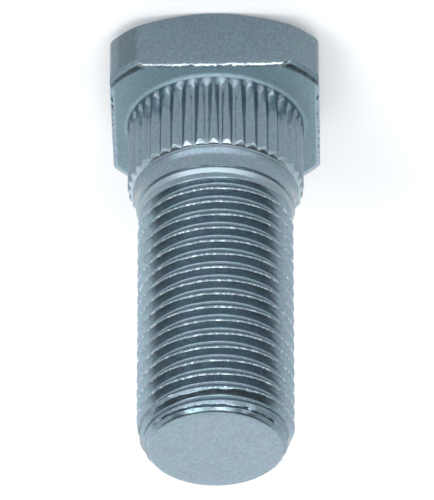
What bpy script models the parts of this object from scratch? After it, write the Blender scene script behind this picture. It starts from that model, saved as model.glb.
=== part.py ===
"""A wheel bolt of the pressed-in kind, standing on its head.

It is one cold-forged piece: a four-sided head, a splined collar, a cone with a shoulder, a neck and
a rolled half-inch fine thread. Z runs along the shank, from the outer face of the head up to the tip.
"""

import math

import bmesh
import bpy
from mathutils import Matrix, Vector

MM = 0.001

# Head
HEAD_THICKNESS = 5.25 * MM
HEAD_ACROSS_FLATS = 16.8 * MM
HEAD_CORNER_DIAMETER = 20.9 * MM
HEAD_FLATS = 4
HEAD_FACE_DIAMETER = 16.2 * MM
HEAD_CHAMFER_ANGLE = math.radians(30)
HEAD_RIM_RADIUS = 0.7 * MM
HEAD_CORNER_BLEND = 1.2 * MM

# Splined collar, measured from the bearing face of the head. Its lead is the chamfer on the ends of
# the splines, and its rim the plain band past them, whose drop is measured from their roots
COLLAR_DIAMETER = 14.2 * MM
COLLAR_LENGTH = 6.85 * MM
COLLAR_FILLET = 0.35 * MM
COLLAR_LEAD_LENGTH = 0.34 * MM
COLLAR_RIM_LENGTH = 0.26 * MM
COLLAR_RIM_DROP = 0.04 * MM
SPLINE_COUNT = 40
SPLINE_DEPTH = 0.42 * MM
SPLINE_ROOT_WIDTH = 0.25 * MM
SPLINE_ANGLE = math.radians(80)
SPLINE_START_ANGLE = math.radians(-3.45)

# Cone from the collar to a shoulder and a neck. The shoulder's rise and the neck's depth are measured
# from the crest of the thread
CONE_LENGTH = 1.5 * MM
SHOULDER_RISE = 0.11 * MM
SHOULDER_ANGLE = math.radians(45)
NECK_DEPTH = 0.175 * MM
NECK_LENGTH = 0.15 * MM

# Thread, right-handed, from where it fades in at the neck to the tip
THREAD_DIAMETER = 12.5 * MM
THREAD_PITCH = 1.27 * MM
THREAD_FLANK_ANGLE = math.radians(30)
THREAD_CREST_SHARE = 1 / 8
THREAD_ROOT_SHARE = 1 / 6
THREAD_FADE_TURNS = 1.2
THREAD_START_ANGLE = math.radians(96.65)

# Shank, measured from the bearing face of the head to the tip face
SHANK_LENGTH = 31.3 * MM
TIP_TAPER_LENGTH = 1.3 * MM
TIP_TAPER_DROP = 0.49 * MM
TIP_CHAMFER = 0.46 * MM

# Facets
HEAD_SEGMENTS = 80
THREAD_SEGMENTS = 48
TIP_SEGMENTS = 96
ROUND_STEPS = 3
WELD_DISTANCE = 0.0001 * MM
SMOOTH_ANGLE = math.radians(25)

# Trimming bar, whose part above the head is this much wider than the head
KEEPER_WIDENING = 2.0

# Finish
ZINC_COLOUR = (0.42, 0.50, 0.54, 1.0)
ZINC_ROUGHNESS = 0.36


def clear_scene():
    for obj in list(bpy.data.objects):
        bpy.data.objects.remove(obj, do_unlink=True)


def collar_rim_radius():
    return COLLAR_DIAMETER / 2 - SPLINE_DEPTH - COLLAR_RIM_DROP


def cone_end():
    return HEAD_THICKNESS + COLLAR_LENGTH + CONE_LENGTH


def neck_start():
    return cone_end() + (SHOULDER_RISE + NECK_DEPTH) / math.tan(SHOULDER_ANGLE)


def neck_radius():
    return THREAD_DIAMETER / 2 - NECK_DEPTH


def tip_height():
    return HEAD_THICKNESS + SHANK_LENGTH


def arc(centre, radius, start, end, steps):
    """Points of an arc, both ends included."""
    angles = [start + (end - start) * step / steps for step in range(steps + 1)]
    return [(centre[0] + radius * math.cos(a), centre[1] + radius * math.sin(a)) for a in angles]


def head_profile():
    """Radius and height from the centre of the outer face to the start of the neck."""
    face = HEAD_FACE_DIAMETER / 2
    corner = HEAD_CORNER_DIAMETER / 2
    collar = COLLAR_DIAMETER / 2
    rim_height = HEAD_THICKNESS + COLLAR_LENGTH
    chamfer_height = (corner - face) * math.tan(HEAD_CHAMFER_ANGLE)
    rim_centre = (corner - HEAD_RIM_RADIUS, HEAD_THICKNESS - HEAD_RIM_RADIUS)
    fillet_centre = (collar + COLLAR_FILLET, HEAD_THICKNESS + COLLAR_FILLET)
    profile = [(0.0, 0.0), (face, 0.0), (corner, chamfer_height)]
    profile += arc(rim_centre, HEAD_RIM_RADIUS, 0.0, math.pi / 2, ROUND_STEPS)
    profile += arc(fillet_centre, COLLAR_FILLET, math.pi * 3 / 2, math.pi, ROUND_STEPS)
    profile += [
        (collar, rim_height - COLLAR_RIM_LENGTH - COLLAR_LEAD_LENGTH),
        (collar_rim_radius(), rim_height - COLLAR_RIM_LENGTH),
        (collar_rim_radius(), rim_height),
        (THREAD_DIAMETER / 2 + SHOULDER_RISE, cone_end()),
        (neck_radius(), neck_start()),
    ]
    return profile


def thread_row():
    """Radius and height along one side of the thread, crest and root flats in turn.

    It starts below the neck and ends above the tip, because both ends are trimmed later."""
    crest_width = THREAD_PITCH * THREAD_CREST_SHARE
    root_width = THREAD_PITCH * THREAD_ROOT_SHARE
    flank_width = (THREAD_PITCH - crest_width - root_width) / 2
    crest = THREAD_DIAMETER / 2
    root = crest - flank_width / math.tan(THREAD_FLANK_ANGLE)
    one_turn = [
        (crest, 0.0),
        (crest, crest_width),
        (root, crest_width + flank_width),
        (root, crest_width + flank_width + root_width),
    ]
    below = neck_start() - 2 * THREAD_PITCH
    turns = math.ceil((tip_height() - below) / THREAD_PITCH) + 1
    return [
        (radius, below + turn * THREAD_PITCH + rise)
        for turn in range(turns)
        for radius, rise in one_turn
    ]


def faded(radius, height):
    """The thread's radius at this height: it grows out of the plain neck."""
    neck = neck_radius()
    share = (height - neck_start() - NECK_LENGTH) / (THREAD_FADE_TURNS * THREAD_PITCH)
    return neck + (radius - neck) * min(max(share, 0.0), 1.0)


def tip_profile():
    """Radius and height of the blank that the thread was rolled on: its tapered, chamfered tip,
    with the taper carried down past the head."""
    tip = tip_height()
    taper_end = THREAD_DIAMETER / 2 - TIP_TAPER_DROP
    wide = HEAD_CORNER_DIAMETER
    taper_fall = (wide - taper_end) * TIP_TAPER_LENGTH / TIP_TAPER_DROP
    return [
        (0.0, tip - TIP_CHAMFER - taper_fall - HEAD_CORNER_DIAMETER),
        (wide, tip - TIP_CHAMFER - taper_fall - HEAD_CORNER_DIAMETER),
        (wide, tip - TIP_CHAMFER - taper_fall),
        (taper_end, tip - TIP_CHAMFER),
        (taper_end - TIP_CHAMFER, tip),
        (0.0, tip),
    ]


def spin_profile(mesh, profile, segments, rise=0.0):
    """Turns a radius-height profile once round Z, climbing by rise, and returns its new corners."""
    corners = [mesh.verts.new((radius, 0.0, height)) for radius, height in profile]
    line = [mesh.edges.new(pair) for pair in zip(corners, corners[1:])]
    before = set(mesh.verts) - set(corners)
    bmesh.ops.spin(
        mesh,
        geom=corners + line,
        cent=(0, 0, 0),
        axis=(0, 0, 1),
        dvec=(0, 0, rise / segments),
        angle=math.tau,
        steps=segments,
    )
    return [vert for vert in mesh.verts if vert not in before]


def threaded_shank(mesh):
    """The helical surface of the neck and thread, open at both ends."""
    corners = spin_profile(mesh, thread_row(), THREAD_SEGMENTS, THREAD_PITCH)
    for vert in corners:
        radius = math.hypot(vert.co.x, vert.co.y)
        scale = faded(radius, vert.co.z) / radius
        vert.co.x *= scale
        vert.co.y *= scale
    turned = Matrix.Rotation(THREAD_START_ANGLE, 3, "Z")
    bmesh.ops.rotate(mesh, verts=corners, cent=(0, 0, 0), matrix=turned)
    bmesh.ops.remove_doubles(mesh, verts=mesh.verts, dist=WELD_DISTANCE)
    bmesh.ops.bisect_plane(
        mesh,
        geom=mesh.verts[:] + mesh.edges[:] + mesh.faces[:],
        dist=WELD_DISTANCE,
        plane_co=(0, 0, neck_start() + NECK_LENGTH / 2),
        plane_no=(0, 0, 1),
        clear_inner=True,
    )
    bmesh.ops.bisect_plane(
        mesh,
        geom=mesh.verts[:] + mesh.edges[:] + mesh.faces[:],
        dist=WELD_DISTANCE,
        plane_co=(0, 0, tip_height() + THREAD_PITCH / 2),
        plane_no=(0, 0, 1),
        clear_outer=True,
    )


def rolled_blank():
    """The whole bolt before its flats, splines and tip: a turned head joined to the shank."""
    mesh = bmesh.new()
    threaded_shank(mesh)
    middle = (neck_start() + tip_height()) / 2
    open_top = [e for e in mesh.edges if e.is_boundary and e.verts[0].co.z > middle]
    bmesh.ops.holes_fill(mesh, edges=open_top)
    spin_profile(mesh, head_profile(), HEAD_SEGMENTS)
    bmesh.ops.remove_doubles(mesh, verts=mesh.verts, dist=WELD_DISTANCE)
    open_neck = [edge for edge in mesh.edges if edge.is_boundary]
    bmesh.ops.bridge_loops(mesh, edges=open_neck)
    bmesh.ops.triangulate(mesh, faces=[face for face in mesh.faces if len(face.verts) > 4])
    bmesh.ops.recalc_face_normals(mesh, faces=mesh.faces)
    return mesh


def head_outline():
    """The head seen from its end: a flat, its two blends and a corner arc, repeated round it."""
    half_turn = math.pi / HEAD_FLATS
    corner = HEAD_CORNER_DIAMETER / 2
    across = HEAD_ACROSS_FLATS / 2 - HEAD_CORNER_BLEND
    along = math.sqrt((corner - HEAD_CORNER_BLEND) ** 2 - across**2)
    turn = math.atan2(along, across)
    one_side = arc((across, -along), HEAD_CORNER_BLEND, -turn, 0.0, ROUND_STEPS)
    one_side += arc((across, along), HEAD_CORNER_BLEND, 0.0, turn, ROUND_STEPS)
    one_side += arc((0.0, 0.0), corner, turn, 2 * half_turn - turn, ROUND_STEPS)[1:-1]
    outline = []
    for index in range(HEAD_FLATS):
        turned = Matrix.Rotation(2 * half_turn * index, 2)
        outline += [turned @ Vector(point) for point in one_side]
    return outline


def raised_bar(mesh, section, bottom, height):
    """A closed straight bar of this section along Z. Returns its corners."""
    corners = [mesh.verts.new((x, y, bottom)) for x, y in section]
    base = mesh.faces.new(corners)
    pulled = bmesh.ops.extrude_face_region(mesh, geom=[base])
    raised = [item for item in pulled["geom"] if isinstance(item, bmesh.types.BMVert)]
    bmesh.ops.translate(mesh, verts=raised, vec=(0, 0, height))
    return corners + raised


def flats_keeper():
    """A bar of the head's outline, which widens just above the bearing face so that it clears the
    collar: what lies outside it is trimmed off the head."""
    mesh = bmesh.new()
    spare = HEAD_THICKNESS
    step = HEAD_THICKNESS + COLLAR_FILLET / 2
    mesh.faces.new([mesh.verts.new((x, y, -spare)) for x, y in head_outline()])
    walls = [(step + spare, 1.0), (0.0, KEEPER_WIDENING), (tip_height() + spare - step, 1.0)]
    for height, widening in walls:
        rim = [edge for edge in mesh.edges if edge.is_boundary]
        pulled = bmesh.ops.extrude_edge_only(mesh, edges=rim)["geom"]
        raised = [item for item in pulled if isinstance(item, bmesh.types.BMVert)]
        bmesh.ops.scale(mesh, verts=raised, vec=(widening, widening, 1.0))
        bmesh.ops.translate(mesh, verts=raised, vec=(0, 0, height))
    bmesh.ops.holes_fill(mesh, edges=[edge for edge in mesh.edges if edge.is_boundary])
    bmesh.ops.recalc_face_normals(mesh, faces=mesh.faces)
    return mesh


def spline_cutter():
    """Straight bars round the collar, one for each groove between two splines."""
    mesh = bmesh.new()
    root = COLLAR_DIAMETER / 2 - SPLINE_DEPTH
    outer = root + 2 * SPLINE_DEPTH
    inner_half = SPLINE_ROOT_WIDTH / 2
    outer_half = inner_half + (outer - root) * math.tan(SPLINE_ANGLE / 2)
    section = [(-inner_half, -root), (inner_half, -root), (outer_half, -outer), (-outer_half, -outer)]
    bottom = HEAD_THICKNESS + COLLAR_FILLET
    height = COLLAR_LENGTH - COLLAR_FILLET - COLLAR_RIM_LENGTH / 2
    for index in range(SPLINE_COUNT):
        corners = raised_bar(mesh, section, bottom, height)
        turned = Matrix.Rotation(SPLINE_START_ANGLE + math.tau * index / SPLINE_COUNT, 3, "Z")
        bmesh.ops.rotate(mesh, verts=corners, cent=(0, 0, 0), matrix=turned)
    bmesh.ops.recalc_face_normals(mesh, faces=mesh.faces)
    return mesh


def tip_keeper():
    """The turned form of the tip: what lies outside it is trimmed off the thread."""
    mesh = bmesh.new()
    spin_profile(mesh, tip_profile(), TIP_SEGMENTS)
    bmesh.ops.remove_doubles(mesh, verts=mesh.verts, dist=WELD_DISTANCE)
    bmesh.ops.recalc_face_normals(mesh, faces=mesh.faces)
    return mesh


def placed(name, mesh):
    data = bpy.data.meshes.new(name)
    mesh.to_mesh(data)
    mesh.free()
    obj = bpy.data.objects.new(name, data)
    bpy.context.scene.collection.objects.link(obj)
    return obj


def cut(body, tool, operation):
    tool.hide_render = True
    tool.display_type = "WIRE"
    modifier = body.modifiers.new(tool.name, "BOOLEAN")
    modifier.operation = operation
    modifier.solver = "EXACT"
    modifier.object = tool


def bright_zinc():
    material = bpy.data.materials.new("bright_zinc")
    material.use_nodes = True
    shader = material.node_tree.nodes["Principled BSDF"]
    shader.inputs["Base Color"].default_value = ZINC_COLOUR
    shader.inputs["Metallic"].default_value = 1.0
    shader.inputs["Roughness"].default_value = ZINC_ROUGHNESS
    return material


def build():
    clear_scene()
    bolt = placed("wheel_bolt", rolled_blank())
    cut(bolt, placed("flats_keeper", flats_keeper()), "INTERSECT")
    cut(bolt, placed("tip_keeper", tip_keeper()), "INTERSECT")
    cut(bolt, placed("spline_cutter", spline_cutter()), "DIFFERENCE")
    bolt.data.materials.append(bright_zinc())
    bolt.data.shade_smooth()
    bolt.data.set_sharp_from_angle(angle=SMOOTH_ANGLE)


build()
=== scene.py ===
"""The looks of the wheel bolt: its fine thread, splines and edges in bright zinc, on a pale floor.

The bolt stands on its head, with Z up its shank. The camera looks down on its tip and is rolled half
a turn, so that the picture has the head at the top.
"""

import math

import bmesh
import bpy
from mathutils import Matrix, Vector, noise


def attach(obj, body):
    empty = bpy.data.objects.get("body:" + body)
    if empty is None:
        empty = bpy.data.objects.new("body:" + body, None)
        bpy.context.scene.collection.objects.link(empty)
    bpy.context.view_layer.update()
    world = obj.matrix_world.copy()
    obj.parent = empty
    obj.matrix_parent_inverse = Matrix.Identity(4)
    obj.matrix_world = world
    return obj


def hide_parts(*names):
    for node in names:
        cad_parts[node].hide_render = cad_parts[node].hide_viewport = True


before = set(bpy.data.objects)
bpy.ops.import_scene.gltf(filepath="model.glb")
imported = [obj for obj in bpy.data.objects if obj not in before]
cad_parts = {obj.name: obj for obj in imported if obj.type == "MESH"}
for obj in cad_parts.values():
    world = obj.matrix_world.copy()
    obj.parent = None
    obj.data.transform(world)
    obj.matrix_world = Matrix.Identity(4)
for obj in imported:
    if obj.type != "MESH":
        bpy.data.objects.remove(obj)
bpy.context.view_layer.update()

MM = 0.001
QUARTER = math.pi / 2

# Head, as in the solids
HEAD_THICKNESS = 5.25 * MM
HEAD_ACROSS_FLATS = 16.8 * MM
HEAD_CORNER_DIAMETER = 20.9 * MM
HEAD_FLATS = 4
HEAD_FACE_DIAMETER = 16.2 * MM
HEAD_CHAMFER_ANGLE = math.radians(30)
HEAD_RIM_RADIUS = 0.7 * MM
HEAD_CORNER_BLEND = 1.2 * MM

# Edges of the head. The flats were sheared, which left a raised lip round the bearing face
FACE_EDGE_ROUND = 0.15 * MM
CHAMFER_EDGE_ROUND = 0.12 * MM
SHEARED_EDGE_ROUND = 0.2 * MM
SHEARED_EDGE_UNEVEN = 0.07 * MM
CLEAN_EDGE_SHARE = 0.5
LIP_HEIGHT = 0.07 * MM
LIP_WIDTH = 0.13 * MM
LIP_FADE = 0.5 * MM
RIM_LAND = 0.3 * MM
EDGE_WAVES = (14.0, 45.0)
TEAR_WAVES = (26.0, 60.0)
TEAR_SIZE = 0.9
TEAR_LEAST = 0.2
SIDE_ROWS = 4
EDGE_STEPS = 5
RIM_STEPS = 6

# Nicks in the near flat's edge: where along it, half their width and their depth
EDGE_NICKS = (
    (-5.85 * MM, 0.25 * MM, 0.16 * MM),
    (-1.4 * MM, 0.16 * MM, 0.12 * MM),
    (1.85 * MM, 0.16 * MM, 0.12 * MM),
    (4.3 * MM, 0.12 * MM, 0.06 * MM),
)

# Splined collar. The splines have the solids' count, with bulging sides and shallower grooves
COLLAR_DIAMETER = 14.2 * MM
COLLAR_LENGTH = 6.85 * MM
COLLAR_FILLET = 0.35 * MM
COLLAR_LEAD_LENGTH = 0.34 * MM
COLLAR_RIM_LENGTH = 0.26 * MM
COLLAR_RIM_DROP = 0.04 * MM
SPLINE_COUNT = 40
SPLINE_DEPTH = 0.42 * MM
SPLINE_GROOVE_DEPTH = 0.36 * MM
SPLINE_ROOT_WIDTH = 0.16 * MM
SPLINE_BULGE = 0.35
SPLINE_START_ANGLE = math.radians(-4.2)

# Rolled edges of the splines, and the small step from the rim down to the cone
SPLINE_RUN_IN = 0.8 * MM
RUN_IN_SHARE = 0.75
RUN_IN_UNEVEN = 0.6
RUN_IN_GRAIN = 11.0
SPLINE_UNEVEN = 0.03 * MM
SPLINE_GRAIN = 19.0
TOOTH_EDGE_ROUND = 0.03 * MM
LEAD_LENGTH = 0.38 * MM
LEAD_BULGE = 1.4
RIM_EDGE_ROUND = 0.05 * MM
RIM_STEP = 0.02 * MM
RIM_STEP_DEPTH = 0.04 * MM

# Cone and shoulder. The cone is hollow and ends in a fine lip, with an undercut before the shoulder
CONE_LENGTH = 1.5 * MM
SHOULDER_RISE = 0.11 * MM
NECK_DEPTH = 0.15 * MM
NECK_LENGTH = 0.1 * MM
CONE_BEND = 0.36
CONE_BEND_DROP = 0.92
CONE_BEND_ROUND = 0.9 * MM
CONE_START = 0.12
CONE_RISE = 0.8
CONE_LIP = 0.015 * MM
CONE_LIP_UNEVEN = 1.2
CONE_LIP_GRAIN = 22.0
UNDERCUT_DEPTH = 0.11 * MM
UNDERCUT_LENGTH = 0.12 * MM
SHOULDER_START = 0.25 * MM
SHOULDER_LENGTH = 0.34 * MM
SHOULDER_BULGE = 0.012 * MM
SHOULDER_ROUND = 0.04 * MM
NECK_ROUND = 0.08 * MM

# Thread and tip. The roots are twice as wide as in the solids, and the thread is turned further
THREAD_DIAMETER = 12.5 * MM
THREAD_PITCH = 1.27 * MM
THREAD_FLANK_ANGLE = math.radians(30)
THREAD_CREST_SHARE = 1 / 8
THREAD_ROOT_SHARE = 1 / 3
THREAD_FADE_TURNS = 0.8
ROOT_FADE_TURNS = 0.5
THREAD_START_ANGLE = math.radians(112)
THREAD_START_HEIGHT = 13.885 * MM
SHANK_LENGTH = 31.3 * MM
TIP_TAPER_LENGTH = 1.3 * MM
TIP_TAPER_DROP = 0.49 * MM
TIP_CHAMFER = 0.46 * MM

# The fold where the last crest was rolled over the tip's chamfer
TIP_LAP = 0.09 * MM
TIP_LAP_DROP = 0.1 * MM
TIP_FOLD = 0.09 * MM
TIP_FOLD_DEPTH = 0.36 * MM
TIP_FOLD_END = 0.3 * MM
TIP_LAP_ROUND = 0.04 * MM

# Rolled edges of the thread and the tip
CREST_ROUND = 0.09 * MM
ROOT_ROUND = 0.36 * MM
CREST_STEPS = 2
ROOT_STEPS = 2
FLANK_ROWS = (0.12, 0.3, 0.84)
CREST_UNEVEN = 0.012 * MM
CREST_GRAIN = 1900.0
TIP_RIM_ROUND = 0.28 * MM
TIP_TAPER_ROUND = 0.3 * MM
TIP_WAVE = 0.22 * MM
TIP_WAVE_GRAIN = 900.0
TIP_WAVE_FADE = 0.6 * MM

# Fineness of the mesh
DOUBLINGS = 3
HEAD_COLUMNS = 520
THREAD_COLUMNS = 192
WELD_DISTANCE = 0.0005 * MM
TIP_SLICE = 0.08 * MM
TIP_FINE_SLICE = 0.04 * MM
TIP_RINGS = 5

# Colours of the plate, from greenish to violet, of the lighter metal on burnished crests, which also
# gives painted glints and painted highlights on the shoulder and tooth ends, and of torn metal, which
# also gives a painted highlight on the torn edge
PLATE_TEAL = (0.178, 0.250, 0.282)
PLATE_BLUE = (0.184, 0.244, 0.286)
PLATE_VIOLET = (0.192, 0.238, 0.288)
BEARING_TINT = (0.200, 0.296, 0.336)
BURNISH_AND_HIGHLIGHT = (0.46, 0.54, 0.58)
TORN_AND_HIGHLIGHT = (0.52, 0.58, 0.60)

# How much painted highlight lightens the shoulder and tooth ends, how metallic the dull faces are, and
# how much painted shade darkens the head's sides and a band on the near flat
SHOULDER_PAINTED_HIGHLIGHT = 0.35
DULL_METAL = 0.6
HEAD_SIDE_PAINTED_SHADE = 0.9
NEAR_FLAT_PAINTED_SHADE = 0.72
PATCH_SHADES = (0.84, 1.14)
SATIN_ROUGHNESS = (0.17, 0.27)
BEARING_ROUGHER = 0.34
TORN_ROUGHER = 0.12
DENT_STRENGTH = 0.3
DENT_HEIGHT = 0.012 * MM

# Scale, detail and roughness of the clouds in the plate
TINT_CLOUDS = (700.0, 3.0, 0.5)
PATCH_CLOUDS = (4200.0, 5.0, 0.7)
SPECKLE_CLOUDS = (3800.0, 3.0, 0.6)
SATIN_CLOUDS = (1600.0, 4.0, 0.5)
RAGGED_CLOUDS = (1800.0, 4.0, 0.7)
BROKEN_CLOUDS = (1300.0, 3.0, 0.6)
FINE_DENTS = (6000.0, 4.0, 0.6)
COARSE_DENTS = (1500.0, 2.0, 0.5)

# Where each finish, painted highlight and painted shade starts and is whole, from the edge or the
# height that it follows
BEARING_FOOT = (-0.1 * MM, -0.04 * MM)
BEARING_TOP = (0.3 * MM, 0.15 * MM)
BEARING_FLATS = (-0.3 * MM, -0.4 * MM)
BEARING_CORNERS = (0.0, -0.12 * MM)
TORN_SIDE = (0.33 * MM, 0.27 * MM)
TORN_FOOT = (-0.16 * MM, -0.08 * MM)
RAGGED_EDGE = (-0.09 * MM, 0.09 * MM)
CREST_EDGE = (-0.09 * MM, -0.03 * MM)
TEETH_FOOT = (-0.02 * MM, 0.02 * MM)
TEETH_TOP = (0.06 * MM, 0.03 * MM)
TIP_FOOT = (-0.04 * MM, -0.01 * MM)
HEAD_TOP = (-0.2 * MM, -0.5 * MM)
PAINTED_BAND_TOP = (-0.3 * MM, -0.8 * MM)
PAINTED_BAND_FRONT = (-6.0 * MM, -7.0 * MM)
PAINTED_BAND_START = (5.9 * MM, 6.5 * MM)
PAINTED_BAND_END = (8.0 * MM, 7.4 * MM)

# Light of the studio's walls behind, at the sides and in front, and what is left of it overhead
BACK_LIGHT = 1.9
SIDE_LIGHT = 1.1
FRONT_LIGHT = 2.3
TOP_SHADE = 0.14
BAND_LIGHT = 0.9
RIGHT_SHADE = 0.78
STUDIO_WHITE = (0.98, 1.0, 1.02)

# Where those walls start and are whole, as a share of the way that a ray points
BACK_WALL = (0.1, 0.7)
FRONT_WALL = (-0.35, -0.75)
RIGHT_WALL = (-0.2, -0.6)
OVERHEAD = (0.64, 0.76)
BAND_FOOT = (0.48, 0.56)
BAND_TOP = (0.78, 0.70)
BAND_FRONT = (-0.12, -0.30)

# Softboxes: azimuth and elevation in degrees, width and height, then their distance and radiance
UPPER_RIGHT_SOFTBOX = (-13, 58, 0.18, 0.18)
UPPER_LEFT_SOFTBOX = (42, 57, 0.15, 0.18)
SOFTBOX_DISTANCE = 0.5
SOFTBOX_RADIANCE = 5.0

# Floor, and how much whiter than its lit colour it is seen
FLOOR_SIZE = 2.0
FLOOR_WHITE = (0.92, 0.92, 0.92)
FLOOR_ROUGHNESS = 0.9
FLOOR_LIFT = 0.05

# Camera
CAMERA_ELEVATION = math.radians(34.90)
CAMERA_TURN = math.radians(-1.1)
CAMERA_DISTANCE = 636.7 * MM
CAMERA_AIM = Vector((-0.108 * MM, 0.0, 17.48 * MM))
CAMERA_LENS = 573.4
CAMERA_SENSOR = 36.0


def collar_rim_radius():
    return COLLAR_DIAMETER / 2 - SPLINE_DEPTH - COLLAR_RIM_DROP


def cone_end():
    return HEAD_THICKNESS + COLLAR_LENGTH + CONE_LENGTH


def neck_start():
    return cone_end() + SHOULDER_START + SHOULDER_LENGTH


def neck_radius():
    return THREAD_DIAMETER / 2 - NECK_DEPTH


def tip_height():
    return HEAD_THICKNESS + SHANK_LENGTH


def between(start, end, share):
    return start + (end - start) * share


def eased(share):
    """A smooth step from 0 to 1."""
    share = min(max(share, 0.0), 1.0)
    return share * share * (3 - 2 * share)


def round_noise(angle, layer, grain):
    """Smooth noise that runs round the bolt and closes on itself. Each layer has its own."""
    return noise.noise(Vector((math.cos(angle) * grain, math.sin(angle) * grain, layer)))


def rounded(path):
    """Points along a path of (x, y, radius, steps) corners. A corner with no steps stays sharp."""
    points = []
    for index, (x, y, radius, steps) in enumerate(path):
        if steps == 0:
            points.append((x, y))
            continue
        corner = Vector((x, y))
        before = Vector(path[index - 1][:2]) - corner
        after = Vector(path[index + 1][:2]) - corner
        half = before.angle(after) / 2
        reach = min(radius / math.tan(half), 0.49 * before.length, 0.49 * after.length)
        start = corner + before.normalized() * reach
        end = corner + after.normalized() * reach
        for step in range(steps + 1):
            points.append(tuple(arc_between(start, corner, end, step / steps)))
    return points


def arc_between(start, corner, end, share):
    """The point at this share of the arc that is tangent at start and end to the lines from corner."""
    middle = (start + end) / 2
    height = (corner - middle).length
    if height < 1e-9:
        return start.lerp(end, share)
    half_chord = (end - start).length / 2
    centre = middle - (corner - middle).normalized() * (half_chord**2 / height)
    spoke_start = start - centre
    spoke_end = end - centre
    turn = math.atan2(
        spoke_start.x * spoke_end.y - spoke_start.y * spoke_end.x, spoke_start.dot(spoke_end)
    )
    return centre + Matrix.Rotation(turn * share, 2) @ spoke_start


def outline_radius(angle):
    """The head's radius at this angle: a flat, a blend or a corner arc."""
    sector = math.tau / HEAD_FLATS
    offset = abs((angle + sector / 2) % sector - sector / 2)
    corner = HEAD_CORNER_DIAMETER / 2
    across = HEAD_ACROSS_FLATS / 2 - HEAD_CORNER_BLEND
    along = math.sqrt((corner - HEAD_CORNER_BLEND) ** 2 - across**2)
    if offset <= math.atan2(along, HEAD_ACROSS_FLATS / 2):
        return HEAD_ACROSS_FLATS / 2 / math.cos(offset)
    if offset >= math.atan2(along, across):
        return corner
    reach = across * math.cos(offset) + along * math.sin(offset)
    return reach + math.sqrt(reach**2 - across**2 - along**2 + HEAD_CORNER_BLEND**2)


def sheared_edge(angle, radius):
    """Radius, lip and nick of the bearing side's edge at this angle."""
    rim_start = HEAD_CORNER_DIAMETER / 2 - HEAD_RIM_RADIUS
    wave, ripple = EDGE_WAVES
    wobble = round_noise(angle, 0.3, wave) + 0.6 * round_noise(angle, 0.7, ripple)
    edge_round = SHEARED_EDGE_ROUND + SHEARED_EDGE_UNEVEN * max(min(wobble, 1.0), -1.0)
    wave, ripple = TEAR_WAVES
    tear = TEAR_SIZE + 1.2 * round_noise(angle, 1.9, wave) + 1.0 * round_noise(angle, 2.7, ripple)
    tear = max(tear, TEAR_LEAST)
    roughly = between(CLEAN_EDGE_SHARE, 1.0, eased(abs(math.sin(angle)) * 4 - 2))
    lip = LIP_HEIGHT * tear * roughly * eased((rim_start - radius) / LIP_FADE)
    return edge_round * roughly, lip, nick_at(angle, radius)


def nick_at(angle, radius):
    along = radius * math.cos(angle)
    if math.sin(angle) > -0.5:
        return 0.0
    return max(
        depth * eased(2 - 2 * abs(along - place) / half_width)
        for place, half_width, depth in EDGE_NICKS
    )


def rim_curve(angle, radius):
    """The bearing side's edge at a column of this radius, as (radius, height) points.

    A small arc leaves the side wall and meets the turned rim of the head, which then runs on to the
    bearing face. On a flat the turned rim is cut away, and the arc rises to a torn lip instead."""
    edge_round, lip, nick = sheared_edge(angle, radius)
    rim_start = HEAD_CORNER_DIAMETER / 2 - HEAD_RIM_RADIUS
    rim_base = HEAD_THICKNESS - HEAD_RIM_RADIUS
    past = radius - edge_round - rim_start
    meet = QUARTER
    centre_height = HEAD_THICKNESS - edge_round + lip
    if past > 0:
        rise = math.sqrt(max((HEAD_RIM_RADIUS - edge_round) ** 2 - past**2, 0.0))
        centre_height = rim_base + rise
        meet = math.atan2(rise, past)
    points = []
    for step in range(EDGE_STEPS + 1):
        turn = meet * step / EDGE_STEPS
        points.append((
            radius - edge_round + edge_round * math.cos(turn),
            centre_height + edge_round * math.sin(turn) - nick * eased(step / EDGE_STEPS),
        ))
    arc_length = HEAD_RIM_RADIUS * (QUARTER - meet)
    face_start = rim_start if past > 0 else radius - edge_round
    for step in range(1, RIM_STEPS + 1):
        run = (arc_length + RIM_LAND) * step / RIM_STEPS
        if run < arc_length:
            turn = meet + run / HEAD_RIM_RADIUS
            points.append((
                rim_start + HEAD_RIM_RADIUS * math.cos(turn),
                rim_base + HEAD_RIM_RADIUS * math.sin(turn),
            ))
        else:
            behind = run - arc_length
            raised = lip * (1 - eased(behind / LIP_WIDTH)) - nick * (1 - eased(behind / RIM_LAND))
            points.append((face_start - behind, HEAD_THICKNESS + raised))
    return points


def groove_depth(angle):
    """Depth of the groove between two splines at this angle: steep at its root, shallow at the top."""
    sector = math.tau / SPLINE_COUNT
    groove_zero = SPLINE_START_ANGLE - QUARTER
    offset = abs((angle - groove_zero + sector / 2) % sector - sector / 2)
    half_root = SPLINE_ROOT_WIDTH / COLLAR_DIAMETER
    share = max(offset - half_root, 0.0) / (sector / 2 - half_root)
    return SPLINE_GROOVE_DEPTH * (1 - share * (1 + SPLINE_BULGE * (1 - share)))


def sharp(points):
    """Path corners that stay sharp, from plain (x, y) points."""
    return [(x, y, 0, 0) for x, y in points]


def face_path(radius):
    """The outer face, its chamfer and the side wall up to the sheared edge."""
    face = HEAD_FACE_DIAMETER / 2
    chamfer_height = (radius - face) * math.tan(HEAD_CHAMFER_ANGLE)
    path = sharp((face * share, 0.0) for share in (0.0, 0.3, 0.6, 0.9))
    path += [
        (face, 0.0, FACE_EDGE_ROUND, CREST_STEPS),
        (radius, chamfer_height, CHAMFER_EDGE_ROUND, CREST_STEPS),
    ]
    side_end = HEAD_THICKNESS - HEAD_RIM_RADIUS
    for row in range(1, SIDE_ROWS + 1):
        path.append((radius, between(chamfer_height, side_end, row / SIDE_ROWS), 0, 0))
    return path


def fillet_path():
    """The fillet between the bearing face and the collar."""
    edge = COLLAR_DIAMETER / 2 + COLLAR_FILLET
    turns = [QUARTER * step / EDGE_STEPS for step in range(EDGE_STEPS + 1)]
    return sharp(
        (edge - COLLAR_FILLET * math.sin(turn), HEAD_THICKNESS + COLLAR_FILLET * (1 - math.cos(turn)))
        for turn in turns
    )


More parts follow.
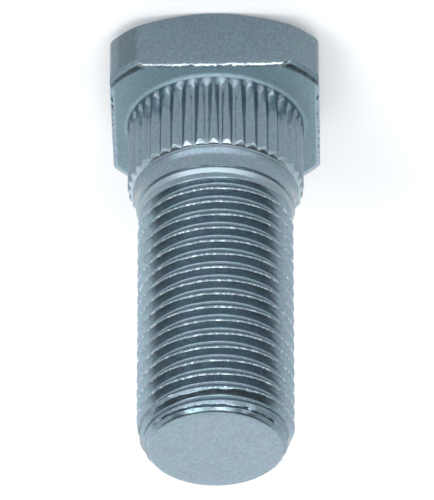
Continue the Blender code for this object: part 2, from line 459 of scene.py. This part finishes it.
def spline_path(angle):
    """One side of the collar, from its fillet over the chamfered end of the splines to its rim."""
    collar = COLLAR_DIAMETER / 2
    rim = collar_rim_radius()
    rim_height = HEAD_THICKNESS + COLLAR_LENGTH
    depth = groove_depth(angle) + SPLINE_UNEVEN * round_noise(angle, 5.1, SPLINE_GRAIN)
    depth = max(depth, 0.0)
    root = collar - depth
    run_start = HEAD_THICKNESS + COLLAR_FILLET
    uneven = RUN_IN_UNEVEN * round_noise(angle, 8.7, RUN_IN_GRAIN)
    run_in = SPLINE_RUN_IN * (RUN_IN_SHARE + uneven)
    path = sharp(
        (collar - depth * share, run_start + run_in * share) for share in (0.33, 0.66, 1.0)
    )
    tooth_end = lead_height(root)
    for share in (0.2, 0.4, 0.6, 0.8):
        path.append((root, between(run_start + run_in, tooth_end, share), 0, 0))
    path.append((root, tooth_end, TOOTH_EDGE_ROUND, CREST_STEPS))
    for share in (0.25, 0.5, 0.75):
        radius = between(root, rim, share)
        path.append((radius, lead_height(radius), 0, 0))
    return path + [
        (rim, lead_height(rim), TOOTH_EDGE_ROUND, CREST_STEPS),
        (rim, rim_height, RIM_EDGE_ROUND, CREST_STEPS),
    ]


def lead_height(radius):
    """Height of the bulging chamfer on the ends of the splines at this radius."""
    collar = COLLAR_DIAMETER / 2
    share = (collar - radius) / (collar - collar_rim_radius())
    start = HEAD_THICKNESS + COLLAR_LENGTH - COLLAR_RIM_LENGTH - COLLAR_LEAD_LENGTH
    return start + LEAD_LENGTH * (1 - (1 - share) ** LEAD_BULGE)


def cone_path(angle):
    """The hollow cone, its lip, the undercut, the shoulder and the start of the neck."""
    start = collar_rim_radius() - RIM_STEP
    base = HEAD_THICKNESS + COLLAR_LENGTH - RIM_STEP_DEPTH
    end = THREAD_DIAMETER / 2 + SHOULDER_RISE
    bend_radius = between(start, end, CONE_BEND_DROP)
    bend_height = between(base, cone_end(), CONE_BEND)
    lip = CONE_LIP * (1 + CONE_LIP_UNEVEN * round_noise(angle, 3.3, CONE_LIP_GRAIN))
    ring = end - SHOULDER_RISE / 2
    shoulder = cone_end() + SHOULDER_START
    middle = (ring + neck_radius()) / 2 + SHOULDER_BULGE
    return [
        (start, base, 0, 0),
        (between(start, bend_radius, CONE_START), between(base, bend_height, CONE_START), 0, 0),
        (bend_radius, bend_height, CONE_BEND_ROUND, ROOT_STEPS),
        (end, between(bend_height, cone_end(), CONE_RISE), 0, 0),
        (end + lip, cone_end(), CONE_LIP, CREST_STEPS),
        (end - UNDERCUT_DEPTH, cone_end() + CONE_LIP * 2, CONE_LIP, CREST_STEPS),
        (end - UNDERCUT_DEPTH, cone_end() + UNDERCUT_LENGTH, 0, 0),
        (ring, shoulder, SHOULDER_ROUND, CREST_STEPS),
        (middle, shoulder + SHOULDER_LENGTH / 2 + SHOULDER_BULGE, 0, 0),
        (neck_radius(), neck_start(), NECK_ROUND, CREST_STEPS),
        (neck_radius(), neck_start() + NECK_LENGTH / 3, 0, 0),
    ]


def head_section(angle):
    """(radius, height) points of the head, collar and cone at this angle, from the outer face up."""
    radius = outline_radius(angle)
    edge = rim_curve(angle, radius)
    fillet = fillet_path()
    path = face_path(radius)[:-1] + sharp(edge)
    for share in (0.33, 0.66):
        path.append((between(edge[-1][0], fillet[0][0], share), HEAD_THICKNESS, 0, 0))
    return rounded(path + fillet + spline_path(angle) + cone_path(angle))


def spun(mesh, points, columns, rise=0.0):
    """Turns a line of (radius, height) points once round Z: one sector is spun, then doubled."""
    sectors = 2**DOUBLINGS
    line = [mesh.verts.new((radius, 0.0, height)) for radius, height in points]
    edges = [mesh.edges.new(pair) for pair in zip(line, line[1:])]
    if mesh.verts.layers.int:
        row_layer = mesh.verts.layers.int["row"]
        for row, vert in enumerate(line):
            vert[row_layer] = row
    bmesh.ops.spin(
        mesh,
        geom=line + edges,
        cent=(0, 0, 0),
        axis=(0, 0, 1),
        dvec=(0, 0, rise / columns),
        angle=math.tau / sectors,
        steps=columns // sectors,
    )
    for doubling in range(DOUBLINGS):
        share = 2**doubling / sectors
        everything = mesh.verts[:] + mesh.edges[:] + mesh.faces[:]
        copied = bmesh.ops.duplicate(mesh, geom=everything)["geom"]
        corners = [item for item in copied if isinstance(item, bmesh.types.BMVert)]
        turned = Matrix.Rotation(math.tau * share, 3, "Z")
        bmesh.ops.rotate(mesh, verts=corners, cent=(0, 0, 0), matrix=turned)
        bmesh.ops.translate(mesh, verts=corners, vec=(0, 0, rise * share))
    bmesh.ops.remove_doubles(mesh, verts=mesh.verts, dist=WELD_DISTANCE)


def turned_head():
    """Spins the section of the head, then sets each column to the section at its own angle."""
    mesh = bmesh.new()
    row_layer = mesh.verts.layers.int.new("row")
    start = [(max(radius, 2 * WELD_DISTANCE), height) for radius, height in head_section(0.0)]
    spread = [(radius + row * MM, height) for row, (radius, height) in enumerate(start)]
    spun(mesh, spread, HEAD_COLUMNS)
    sections = [head_section(math.tau * column / HEAD_COLUMNS) for column in range(HEAD_COLUMNS)]
    for vert in mesh.verts:
        turn = math.atan2(vert.co.y, vert.co.x) / math.tau
        column = round(turn * HEAD_COLUMNS) % HEAD_COLUMNS
        angle = math.tau * column / HEAD_COLUMNS
        radius, height = sections[column][vert[row_layer]]
        vert.co = (radius * math.cos(angle), radius * math.sin(angle), height)
    bmesh.ops.remove_doubles(mesh, verts=mesh.verts, dist=WELD_DISTANCE)
    return mesh


def thread_row():
    """(radius, height) points along one side of the thread, from below the neck to above the tip."""
    crest_width = THREAD_PITCH * THREAD_CREST_SHARE
    root_width = THREAD_PITCH * THREAD_ROOT_SHARE
    flank_width = (THREAD_PITCH - crest_width - root_width) / 2
    crest = THREAD_DIAMETER / 2
    root = crest - flank_width / math.tan(THREAD_FLANK_ANGLE)
    below = THREAD_START_HEIGHT - 2 * THREAD_PITCH
    turns = math.ceil((tip_height() - below) / THREAD_PITCH) + 1
    path = []
    for turn in range(turns + 1):
        height = below + turn * THREAD_PITCH
        flank_start = height + crest_width
        path += [
            (crest, height, CREST_ROUND, CREST_STEPS),
            (crest, flank_start, CREST_ROUND, CREST_STEPS),
        ]
        for share in FLANK_ROWS:
            path.append((between(crest, root, share), flank_start + flank_width * share, 0, 0))
        path += [
            (root, flank_start + flank_width, ROOT_ROUND, ROOT_STEPS),
            (root, height + THREAD_PITCH - flank_width, ROOT_ROUND, ROOT_STEPS),
        ]
    path[0] = (*path[0][:2], 0, 0)
    path[-1] = (*path[-1][:2], 0, 0)
    return rounded(path)[1:-1]


def faded(radius, angle, height):
    """The thread's radius here. Each groove runs out into the neck, and the crests rise from it."""
    crest = THREAD_DIAMETER / 2
    turn = (angle - THREAD_START_ANGLE) / math.tau % 1 + THREAD_CREST_SHARE / 2
    past_crest = (height - THREAD_START_HEIGHT) / THREAD_PITCH - turn
    root_height = THREAD_START_HEIGHT + (math.floor(past_crest) + 0.5 + turn) * THREAD_PITCH
    groove = (root_height - neck_start()) / (ROOT_FADE_TURNS * THREAD_PITCH)
    above = height - neck_start() - NECK_LENGTH / 2
    deep = eased(groove) * eased(above / NECK_LENGTH)
    grown = (above - NECK_LENGTH) / (THREAD_FADE_TURNS * THREAD_PITCH)
    limit = between(neck_radius(), crest, min(max(grown, 0.0), 1.0))
    return min(between(crest, radius, deep), limit)


def set_radius(vert, radius):
    length = math.hypot(vert.co.x, vert.co.y)
    vert.co.x *= radius / length
    vert.co.y *= radius / length


def sliced(mesh, height, keep=""):
    """Cuts the mesh at this height, and keeps all of it, or what is above or below the cut."""
    bmesh.ops.bisect_plane(
        mesh,
        geom=mesh.verts[:] + mesh.edges[:] + mesh.faces[:],
        dist=WELD_DISTANCE,
        plane_co=(0, 0, height),
        plane_no=(0, 0, 1),
        clear_inner=keep == "above",
        clear_outer=keep == "below",
    )


def threaded_shank():
    """The neck and thread with their open ends, the upper one cut off level with the tip."""
    mesh = bmesh.new()
    spun(mesh, thread_row(), THREAD_COLUMNS, THREAD_PITCH)
    turned = Matrix.Rotation(THREAD_START_ANGLE, 3, "Z")
    bmesh.ops.rotate(mesh, verts=mesh.verts, cent=(0, 0, 0), matrix=turned)
    near_crest = THREAD_DIAMETER / 2 - 2 * CREST_ROUND
    for vert in mesh.verts:
        radius = math.hypot(vert.co.x, vert.co.y)
        uneven = CREST_UNEVEN * noise.noise(vert.co * CREST_GRAIN) if radius > near_crest else 0.0
        angle = math.atan2(vert.co.y, vert.co.x)
        set_radius(vert, uneven + faded(radius, angle, vert.co.z))
    sliced(mesh, neck_start() + NECK_LENGTH / 2, "above")
    sliced(mesh, tip_height(), "below")
    return mesh


def tip_limit():
    """(height, radius) points of the tip's taper and chamfer, rising, which trim the thread."""
    crest = THREAD_DIAMETER / 2
    tip = tip_height()
    taper_end = crest - TIP_TAPER_DROP
    rim = taper_end - TIP_CHAMFER
    path = [
        (tip - 4 * TIP_TAPER_LENGTH, crest * 2, 0, 0),
        (tip - TIP_CHAMFER - TIP_TAPER_LENGTH, crest, TIP_TAPER_ROUND, ROOT_STEPS),
        (tip - TIP_CHAMFER - TIP_LAP, taper_end - TIP_LAP_DROP, TIP_LAP_ROUND, CREST_STEPS),
        (tip - TIP_CHAMFER + TIP_FOLD, taper_end - TIP_FOLD_DEPTH, 0, 0),
        (tip - TIP_FOLD_END, rim + TIP_FOLD_END, 0, 0),
        (tip, rim, TIP_RIM_ROUND, 2 * ROOT_STEPS),
        (tip, 0.0, 0, 0),
    ]
    return rounded(path)[:-1]


def limit_at(limit, height):
    for (low, wide), (high, narrow) in zip(limit, limit[1:]):
        if height < high:
            return between(wide, narrow, (height - low) / (high - low))
    return limit[-1][1]


def split_at(mesh, height):
    """Cuts the mesh at this height, and returns what is above as a mesh of its own."""
    sliced(mesh, height)
    top = mesh.copy()
    above = [face for face in mesh.faces if face.calc_center_median().z > height]
    below = [face for face in top.faces if face.calc_center_median().z < height]
    bmesh.ops.delete(mesh, geom=above, context="FACES")
    bmesh.ops.delete(top, geom=below, context="FACES")
    return top


def add_part(mesh, part):
    """Adds the part to the mesh, and welds the corners where they meet."""
    carrier = bpy.data.meshes.new("carrier")
    part.to_mesh(carrier)
    part.free()
    mesh.from_mesh(carrier)
    bpy.data.meshes.remove(carrier)
    bmesh.ops.remove_doubles(mesh, verts=mesh.verts, dist=WELD_DISTANCE)


def trimmed_tip(top):
    """Cuts the top of the thread into thin slices, and pulls them in to the taper and chamfer."""
    tip = tip_height()
    height = min(vert.co.z for vert in top.verts) + TIP_SLICE
    while height < tip - TIP_FINE_SLICE:
        sliced(top, height)
        height += TIP_SLICE if height < tip - 2 * TIP_CHAMFER else TIP_FINE_SLICE
    sliced(top, tip - TIP_FINE_SLICE / 2)
    sliced(top, tip - TIP_FINE_SLICE / 6)
    limit = tip_limit()
    for vert in top.verts:
        wave = TIP_WAVE * noise.noise(Vector((vert.co.x, vert.co.y, 0.0)) * TIP_WAVE_GRAIN)
        wave *= eased((tip - vert.co.z) / TIP_WAVE_FADE)
        radius = math.hypot(vert.co.x, vert.co.y)
        set_radius(vert, min(radius, limit_at(limit, vert.co.z + wave)))
    bmesh.ops.remove_doubles(top, verts=top.verts, dist=WELD_DISTANCE)
    return top


def close_tip(top):
    """Fills the tip with rings that shrink to its centre."""
    tip = tip_height()
    for ring in range(TIP_RINGS):
        pulled = bmesh.ops.extrude_edge_only(top, edges=edges_at(top, tip))["geom"]
        raised = [item for item in pulled if isinstance(item, bmesh.types.BMVert)]
        shrink = 1 - 1 / (TIP_RINGS + 1 - ring)
        bmesh.ops.scale(top, verts=raised, vec=(shrink, shrink, 1))
    lid = bmesh.ops.holes_fill(top, edges=edges_at(top, tip))["faces"]
    bmesh.ops.poke(top, faces=lid)


def edges_at(mesh, height):
    """The open edges of the mesh at this height."""
    level = 2 * WELD_DISTANCE
    return [e for e in mesh.edges if e.is_boundary and abs(e.verts[0].co.z - height) < level]


def bolt_mesh():
    mesh = threaded_shank()
    lowest = tip_height() - TIP_CHAMFER - TIP_TAPER_LENGTH - TIP_RIM_ROUND
    top = trimmed_tip(split_at(mesh, lowest))
    close_tip(top)
    add_part(mesh, top)
    add_part(mesh, turned_head())
    rim = [edge for edge in mesh.edges if edge.is_boundary]
    bmesh.ops.bridge_loops(mesh, edges=rim)
    bmesh.ops.recalc_face_normals(mesh, faces=mesh.faces)
    return mesh


def placed(name, mesh):
    data = bpy.data.meshes.new(name)
    mesh.to_mesh(data)
    mesh.free()
    obj = bpy.data.objects.new(name, data)
    bpy.context.scene.collection.objects.link(obj)
    return obj


def connect(tree, value, socket):
    """Sets a socket to a number, or links it to another node's output."""
    if isinstance(value, bpy.types.NodeSocket):
        tree.links.new(value, socket)
    else:
        socket.default_value = value


def maths(tree, operation, *values):
    node = tree.nodes.new("ShaderNodeMath")
    node.operation = operation
    for socket, value in zip(node.inputs, values):
        connect(tree, value, socket)
    return node.outputs["Value"]


def product(tree, *values):
    result = values[0]
    for value in values[1:]:
        result = maths(tree, "MULTIPLY", result, value)
    return result


def ranged(tree, value, start, end, low=0.0, high=1.0):
    """Eases from low to high while the value goes from start to end."""
    node = tree.nodes.new("ShaderNodeMapRange")
    node.interpolation_type = "SMOOTHSTEP"
    connect(tree, value, node.inputs["Value"])
    node.inputs["From Min"].default_value = start
    node.inputs["From Max"].default_value = end
    node.inputs["To Min"].default_value = low
    node.inputs["To Max"].default_value = high
    return node.outputs["Result"]


def from_edge(tree, value, edge, band):
    """Eases from 0 to 1 across a band of distances from an edge."""
    return ranged(tree, value, edge + band[0], edge + band[1])


def clouds(tree, place, scale, detail, roughness):
    node = tree.nodes.new("ShaderNodeTexNoise")
    node.inputs["Scale"].default_value = scale
    node.inputs["Detail"].default_value = detail
    node.inputs["Roughness"].default_value = roughness
    tree.links.new(place, node.inputs["Vector"])
    return node.outputs["Fac"]


def mixed(tree, share, first, second, blend="MIX"):
    node = tree.nodes.new("ShaderNodeMix")
    node.data_type = "RGBA"
    node.blend_type = blend
    connect(tree, share, node.inputs["Factor"])
    connect(tree, first, node.inputs["A"])
    connect(tree, second, node.inputs["B"])
    return node.outputs["Result"]


def opaque(colour):
    return (*colour, 1.0)


def bolt_zones(tree, place):
    """Where the dull faces, the torn edge and its painted highlight, the burnished crests and their
    painted glints, the painted highlights on the shoulder and tooth ends, and the painted shade on the
    head's sides and near flat are.
    """
    parts = tree.nodes.new("ShaderNodeSeparateXYZ")
    tree.links.new(place, parts.inputs["Vector"])
    x, y, z = parts.outputs
    across = maths(tree, "MAXIMUM", maths(tree, "ABSOLUTE", x), maths(tree, "ABSOLUTE", y))
    squares = maths(tree, "ADD", product(tree, x, x), product(tree, y, y))
    radius = maths(tree, "SQRT", squares)
    flat = HEAD_ACROSS_FLATS / 2
    rim = HEAD_CORNER_DIAMETER / 2 - HEAD_RIM_RADIUS
    bearing = product(
        tree,
        from_edge(tree, z, HEAD_THICKNESS, BEARING_FOOT),
        from_edge(tree, z, HEAD_THICKNESS, BEARING_TOP),
        from_edge(tree, across, flat, BEARING_FLATS),
        from_edge(tree, radius, rim, BEARING_CORNERS),
    )
    # Torn metal along the near flat's sheared edge, whose lighter colour also stands in for a painted
    # highlight
    ragged = ranged(tree, clouds(tree, place, *RAGGED_CLOUDS), 0.3, 0.7, *RAGGED_EDGE)
    torn_edge_and_highlight = product(
        tree,
        from_edge(tree, y, -flat, TORN_SIDE),
        from_edge(tree, maths(tree, "ADD", z, ragged), HEAD_THICKNESS, TORN_FOOT),
        ranged(tree, clouds(tree, place, *BROKEN_CLOUDS), 0.36, 0.52, 0.3, 1.0),
    )
    # Lighter specks on the crests: burnished metal, and painted glints
    crest_burnish_and_glints = product(
        tree,
        from_edge(tree, radius, THREAD_DIAMETER / 2, CREST_EDGE),
        ranged(tree, z, neck_start(), neck_start() + NECK_LENGTH),
    )
    # Painted highlight: the shoulder and the chamfered ends of the splines get a lighter colour
    shoulder = product(
        tree,
        ranged(tree, z, cone_end() + SHOULDER_START / 2, cone_end() + SHOULDER_START),
        ranged(tree, z, neck_start() + NECK_LENGTH / 2, neck_start() - NECK_LENGTH / 2),
    )
    ends = HEAD_THICKNESS + COLLAR_LENGTH - COLLAR_RIM_LENGTH
    teeth = product(
        tree,
        from_edge(tree, z, ends - COLLAR_LEAD_LENGTH, TEETH_FOOT),
        from_edge(tree, z, ends, TEETH_TOP),
    )
    painted_highlight = maths(tree, "ADD", shoulder, teeth)
    tip = from_edge(tree, z, tip_height(), TIP_FOOT)
    # Painted shade over the head's sides, below its bearing side
    head_painted_shade = from_edge(tree, z, HEAD_THICKNESS, HEAD_TOP)
    # Painted shade: a darker upright band near one end of the near flat
    near_flat_painted_shade = product(
        tree,
        ranged(tree, x, *PAINTED_BAND_START),
        ranged(tree, x, *PAINTED_BAND_END),
        ranged(tree, y, *PAINTED_BAND_FRONT),
        from_edge(tree, z, HEAD_THICKNESS, PAINTED_BAND_TOP),
    )
    return bearing, tip, torn_edge_and_highlight, crest_burnish_and_glints, painted_highlight, head_painted_shade, near_flat_painted_shade


def bright_zinc():
    """Clear zinc plate: a pale blue-grey metal with a fine grain and faint clouds of tint, with
    painted highlights and painted shade in places.
    """
    material = bpy.data.materials.new("bright_zinc_plate")
    material.use_nodes = True
    tree = material.node_tree
    shader = tree.nodes["Principled BSDF"]
    place = tree.nodes.new("ShaderNodeTexCoord").outputs["Object"]
    bearing, tip, torn_edge_and_highlight, crest_burnish_and_glints, painted_highlight, head_painted_shade, near_flat_painted_shade = bolt_zones(tree, place)

    hue = ranged(tree, clouds(tree, place, *TINT_CLOUDS), 0.35, 0.65)
    hue_low = ranged(tree, hue, 0.0, 0.5)
    hue_high = ranged(tree, hue, 0.5, 1.0)
    colour = mixed(tree, hue_low, opaque(PLATE_TEAL), opaque(PLATE_BLUE))
    colour = mixed(tree, hue_high, colour, opaque(PLATE_VIOLET))
    colour = mixed(tree, bearing, colour, opaque(BEARING_TINT))
    patches = ranged(tree, clouds(tree, place, *PATCH_CLOUDS), 0.3, 0.7, *PATCH_SHADES)
    # Painted shade: the head's sides and a band on the near flat are darkened in the colour
    shade = product(
        tree,
        patches,
        ranged(tree, head_painted_shade, 0.0, 1.0, 1.0, HEAD_SIDE_PAINTED_SHADE),
        ranged(tree, near_flat_painted_shade, 0.0, 1.0, 1.0, NEAR_FLAT_PAINTED_SHADE),
    )
    grey = tree.nodes.new("ShaderNodeCombineColor")
    for socket in grey.inputs:
        tree.links.new(shade, socket)
    colour = mixed(tree, 1.0, colour, grey.outputs["Color"], "MULTIPLY")
    metal = ranged(tree, maths(tree, "ADD", bearing, tip), 0.0, 1.0, 1.0, DULL_METAL)
    tree.links.new(metal, shader.inputs["Metallic"])
    speckle = ranged(tree, clouds(tree, place, *SPECKLE_CLOUDS), 0.5, 0.62)
    # Burnished crests with painted glints, in specks
    colour = mixed(tree, product(tree, crest_burnish_and_glints, speckle), colour, opaque(BURNISH_AND_HIGHLIGHT))
    # Painted highlight on the shoulder and the tooth ends
    colour = mixed(tree, product(tree, painted_highlight, SHOULDER_PAINTED_HIGHLIGHT), colour, opaque(BURNISH_AND_HIGHLIGHT))
    # Torn metal, lighter than the plate, which also gives a painted highlight on the sheared edge
    colour = mixed(tree, torn_edge_and_highlight, colour, opaque(TORN_AND_HIGHLIGHT))
    tree.links.new(colour, shader.inputs["Base Color"])

    satin = ranged(tree, clouds(tree, place, *SATIN_CLOUDS), 0.3, 0.7, *SATIN_ROUGHNESS)
    duller = product(tree, bearing, BEARING_ROUGHER)
    rough = maths(tree, "ADD", maths(tree, "ADD", satin, duller), product(tree, torn_edge_and_highlight, TORN_ROUGHER))
    tree.links.new(rough, shader.inputs["Roughness"])

    grain = clouds(tree, place, *FINE_DENTS)
    coarse = clouds(tree, place, *COARSE_DENTS)
    dents = maths(tree, "ADD", grain, coarse)
    bump = tree.nodes.new("ShaderNodeBump")
    bump.inputs["Strength"].default_value = DENT_STRENGTH
    bump.inputs["Distance"].default_value = DENT_HEIGHT
    tree.links.new(dents, bump.inputs["Height"])
    tree.links.new(bump.outputs["Normal"], shader.inputs["Normal"])
    return material


def make_bolt():
    bolt = placed("plated_wheel_bolt", bolt_mesh())
    bolt.data.materials.append(bright_zinc())
    bolt.data.shade_smooth()
    weighted = bolt.modifiers.new("even_shading", "WEIGHTED_NORMAL")
    weighted.keep_sharp = True
    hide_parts("wheel_bolt")
    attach(bolt, "root")


def make_floor():
    mesh = bmesh.new()
    bmesh.ops.create_grid(mesh, x_segments=2, y_segments=2, size=FLOOR_SIZE)
    floor = placed("floor", mesh)
    material = bpy.data.materials.new("pale_floor")
    material.use_nodes = True
    tree = material.node_tree
    shader = tree.nodes["Principled BSDF"]
    shader.inputs["Base Color"].default_value = opaque(FLOOR_WHITE)
    shader.inputs["Roughness"].default_value = FLOOR_ROUGHNESS
    shader.inputs["Specular IOR Level"].default_value = 0.0
    shader.inputs["Emission Color"].default_value = (1.0, 1.0, 1.0, 1.0)
    rays = tree.nodes.new("ShaderNodeLightPath").outputs
    seen = maths(
        tree,
        "ADD",
        maths(tree, "ADD", rays["Is Camera Ray"], rays["Is Glossy Ray"]),
        rays["Is Transmission Ray"],
    )
    tree.links.new(product(tree, seen, FLOOR_LIFT), shader.inputs["Emission Strength"])
    floor.data.materials.append(material)


def softbox(name, azimuth, elevation, width, height):
    """An area lamp that faces the bolt. Azimuth 0 is in front, at -Y, and grows towards +X."""
    lamp = bpy.data.lights.new(name, "AREA")
    lamp.shape = "RECTANGLE"
    lamp.size = width
    lamp.size_y = height
    lamp.energy = SOFTBOX_RADIANCE * math.pi * width * height
    obj = bpy.data.objects.new(name, lamp)
    bpy.context.scene.collection.objects.link(obj)
    turn = math.radians(azimuth)
    rise = math.radians(elevation)
    away = Vector((
        math.sin(turn) * math.cos(rise),
        -math.cos(turn) * math.cos(rise),
        math.sin(rise),
    ))
    centre = Vector((0, 0, HEAD_THICKNESS + SHANK_LENGTH / 2))
    obj.location = centre + away * SOFTBOX_DISTANCE
    obj.rotation_euler = away.to_track_quat("Z", "Y").to_euler()


def light_scene():
    world = bpy.data.worlds.new("studio")
    bpy.context.scene.world = world
    world.use_nodes = True
    tree = world.node_tree
    background = tree.nodes["Background"]
    direction = tree.nodes.new("ShaderNodeTexCoord")
    parts = tree.nodes.new("ShaderNodeSeparateXYZ")
    tree.links.new(direction.outputs["Generated"], parts.inputs["Vector"])
    x, y, z = parts.outputs
    behind = ranged(tree, y, *BACK_WALL, 0.0, BACK_LIGHT - SIDE_LIGHT)
    ahead = ranged(tree, y, *FRONT_WALL, 0.0, FRONT_LIGHT - SIDE_LIGHT)
    around = maths(tree, "ADD", maths(tree, "ADD", behind, ahead), SIDE_LIGHT)
    around = product(tree, around, ranged(tree, x, *RIGHT_WALL, 1.0, RIGHT_SHADE))
    overhead = ranged(tree, z, *OVERHEAD)
    dome = product(tree, around, ranged(tree, overhead, 0.0, 1.0, 1.0, TOP_SHADE))
    band = product(
        tree,
        ranged(tree, z, *BAND_FOOT),
        ranged(tree, z, *BAND_TOP),
        ranged(tree, y, *BAND_FRONT),
        BAND_LIGHT,
    )
    tree.links.new(maths(tree, "ADD", dome, band), background.inputs["Strength"])
    background.inputs["Color"].default_value = opaque(STUDIO_WHITE)
    softbox("upper_right_softbox", *UPPER_RIGHT_SOFTBOX)
    softbox("upper_left_softbox", *UPPER_LEFT_SOFTBOX)


def make_camera():
    data = bpy.data.cameras.new("camera")
    data.lens = CAMERA_LENS
    data.sensor_width = CAMERA_SENSOR
    data.clip_start = 0.01
    data.clip_end = 10.0
    camera = bpy.data.objects.new("camera", data)
    bpy.context.scene.collection.objects.link(camera)
    rise = CAMERA_ELEVATION
    level = Matrix.Rotation(CAMERA_TURN, 3, "Z")
    away = level @ Vector((0.0, -math.cos(rise), math.sin(rise)))
    up = level @ Vector((0.0, -math.sin(rise), -math.cos(rise)))
    right = up.cross(away)
    camera.matrix_world = Matrix.Translation(CAMERA_AIM + away * CAMERA_DISTANCE) @ Matrix(
        (right, up, away)
    ).transposed().to_4x4()
    bpy.context.scene.camera = camera


make_camera()
make_floor()
light_scene()
make_bolt()
bpy.context.scene.view_settings.view_transform = "Standard"
